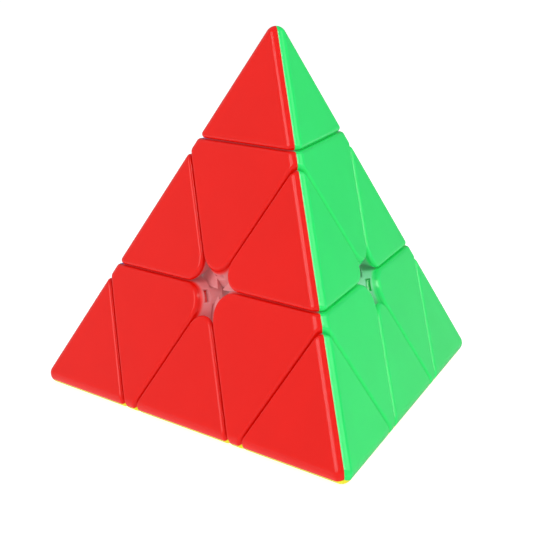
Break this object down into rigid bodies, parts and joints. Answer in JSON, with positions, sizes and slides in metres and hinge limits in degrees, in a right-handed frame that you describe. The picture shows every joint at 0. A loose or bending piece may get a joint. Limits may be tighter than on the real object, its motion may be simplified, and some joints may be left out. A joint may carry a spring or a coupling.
{
  "type": "pyramid twisty puzzle",
  "caption": "Pyramid twisty puzzle whose tips and corner layers turn about a hidden core; glossy coloured shells over a frosted white mechanism.",
  "frame": {"origin": "centre of the core, where the four turning axes cross, a quarter of the height above the lower face", "axes": "+Z through the top vertex, -Y out towards the red face, so the lower face is horizontal"},
  "size_m": [0.098, 0.0855, 0.0808],
  "materials": {
    "red_plastic": "satin moulded",
    "green_plastic": "satin moulded",
    "blue_plastic": "satin moulded",
    "yellow_plastic": "satin moulded",
    "inner_plastic": "frosted, slightly see-through",
    "core_plastic": "plain moulded",
    "screw_steel": "zinc plated",
    "spring_steel": "drawn wire",
    "washer_steel": "stamped",
    "magnet_metal": "nickel plated"
  },
  "bodies": {
    "core": {"core_body": "core_plastic", "core_screws": "screw_steel", "core_springs": "spring_steel", "core_washers": "washer_steel"},
    "corner_top": {"corner_top_blue": "blue_plastic", "corner_top_frame": "inner_plastic", "corner_top_green": "green_plastic", "corner_top_red": "red_plastic"},
    "tip_top": {"tip_top_blue": "blue_plastic", "tip_top_green": "green_plastic", "tip_top_hub": "inner_plastic", "tip_top_red": "red_plastic"},
    "corner_left": {"corner_left_blue": "blue_plastic", "corner_left_frame": "inner_plastic", "corner_left_red": "red_plastic", "corner_left_yellow": "yellow_plastic"},
    "tip_left": {"tip_left_blue": "blue_plastic", "tip_left_hub": "inner_plastic", "tip_left_red": "red_plastic", "tip_left_yellow": "yellow_plastic"},
    "corner_front": {"corner_front_frame": "inner_plastic", "corner_front_green": "green_plastic", "corner_front_red": "red_plastic", "corner_front_yellow": "yellow_plastic"},
    "tip_front": {"tip_front_green": "green_plastic", "tip_front_hub": "inner_plastic", "tip_front_red": "red_plastic", "tip_front_yellow": "yellow_plastic"},
    "corner_right": {"corner_right_blue": "blue_plastic", "corner_right_frame": "inner_plastic", "corner_right_green": "green_plastic", "corner_right_yellow": "yellow_plastic"},
    "tip_right": {"tip_right_blue": "blue_plastic", "tip_right_green": "green_plastic", "tip_right_hub": "inner_plastic", "tip_right_yellow": "yellow_plastic"},
    "edge_top_left": {"edge_top_left_blue": "blue_plastic", "edge_top_left_frame": "inner_plastic", "edge_top_left_magnets": "magnet_metal", "edge_top_left_red": "red_plastic"},
    "edge_top_front": {"edge_top_front_frame": "inner_plastic", "edge_top_front_green": "green_plastic", "edge_top_front_magnets": "magnet_metal", "edge_top_front_red": "red_plastic"},
    "edge_top_right": {"edge_top_right_blue": "blue_plastic", "edge_top_right_frame": "inner_plastic", "edge_top_right_green": "green_plastic", "edge_top_right_magnets": "magnet_metal"},
    "edge_left_front": {"edge_left_front_frame": "inner_plastic", "edge_left_front_magnets": "magnet_metal", "edge_left_front_red": "red_plastic", "edge_left_front_yellow": "yellow_plastic"},
    "edge_front_right": {"edge_front_right_frame": "inner_plastic", "edge_front_right_green": "green_plastic", "edge_front_right_magnets": "magnet_metal", "edge_front_right_yellow": "yellow_plastic"},
    "edge_right_left": {"edge_right_left_blue": "blue_plastic", "edge_right_left_frame": "inner_plastic", "edge_right_left_magnets": "magnet_metal", "edge_right_left_yellow": "yellow_plastic"}
  },
  "joints": [
    {"name": "turn_top", "type": "hinge", "parent": "core", "child": "corner_top", "pos_m": [0, 0, 0], "axis": [0, 0, 1], "range_deg": [-240, 120]},
    {"name": "turn_left", "type": "hinge", "parent": "core", "child": "corner_left", "pos_m": [0, 0, 0], "axis": [-0.8165, -0.4714, -0.3333], "range_deg": [-240, 120]},
    {"name": "turn_front", "type": "hinge", "parent": "core", "child": "corner_front", "pos_m": [0, 0, 0], "axis": [0.8165, -0.4714, -0.3333], "range_deg": [-240, 120]},
    {"name": "turn_right", "type": "hinge", "parent": "core", "child": "corner_right", "pos_m": [0, 0, 0], "axis": [0, 0.9428, -0.3333], "range_deg": [-240, 120]},
    {"name": "tip_turn_top", "type": "hinge", "parent": "corner_top", "child": "tip_top", "pos_m": [0, 0, 0], "axis": [0, 0, 1], "continuous": true},
    {"name": "tip_turn_left", "type": "hinge", "parent": "corner_left", "child": "tip_left", "pos_m": [0, 0, 0], "axis": [-0.8165, -0.4714, -0.3333], "continuous": true},
    {"name": "tip_turn_front", "type": "hinge", "parent": "corner_front", "child": "tip_front", "pos_m": [0, 0, 0], "axis": [0.8165, -0.4714, -0.3333], "continuous": true},
    {"name": "tip_turn_right", "type": "hinge", "parent": "corner_right", "child": "tip_right", "pos_m": [0, 0, 0], "axis": [0, 0.9428, -0.3333], "continuous": true},
    {"name": "edge_top_left_turn", "type": "hinge", "parent": "corner_top", "child": "edge_top_left", "pos_m": [0, 0, 0], "axis": [-0.8165, -0.4714, -0.3333], "range_deg": [-240, 120]},
    {"name": "edge_top_front_turn", "type": "hinge", "parent": "corner_top", "child": "edge_top_front", "pos_m": [0, 0, 0], "axis": [0.8165, -0.4714, -0.3333], "range_deg": [-240, 120]},
    {"name": "edge_top_right_turn", "type": "hinge", "parent": "corner_top", "child": "edge_top_right", "pos_m": [0, 0, 0], "axis": [0, 0.9428, -0.3333], "range_deg": [-240, 120]},
    {"name": "edge_left_front_turn", "type": "hinge", "parent": "corner_left", "child": "edge_left_front", "pos_m": [0, 0, 0], "axis": [0.8165, -0.4714, -0.3333], "range_deg": [-240, 120]},
    {"name": "edge_front_right_turn", "type": "hinge", "parent": "corner_front", "child": "edge_front_right", "pos_m": [0, 0, 0], "axis": [0, 0.9428, -0.3333], "range_deg": [-240, 120]},
    {"name": "edge_right_left_turn", "type": "hinge", "parent": "corner_right", "child": "edge_right_left", "pos_m": [0, 0, 0], "axis": [-0.8165, -0.4714, -0.3333], "range_deg": [-240, 120]}
  ],
  "couplings": [
    {"joint": "edge_top_left_turn", "follows": "turn_left", "ratio": 1},
    {"joint": "edge_top_front_turn", "follows": "turn_front", "ratio": 1},
    {"joint": "edge_top_right_turn", "follows": "turn_right", "ratio": 1},
    {"joint": "edge_left_front_turn", "follows": "turn_front", "ratio": 1},
    {"joint": "edge_front_right_turn", "follows": "turn_right", "ratio": 1},
    {"joint": "edge_right_left_turn", "follows": "turn_left", "ratio": 1}
  ]
}
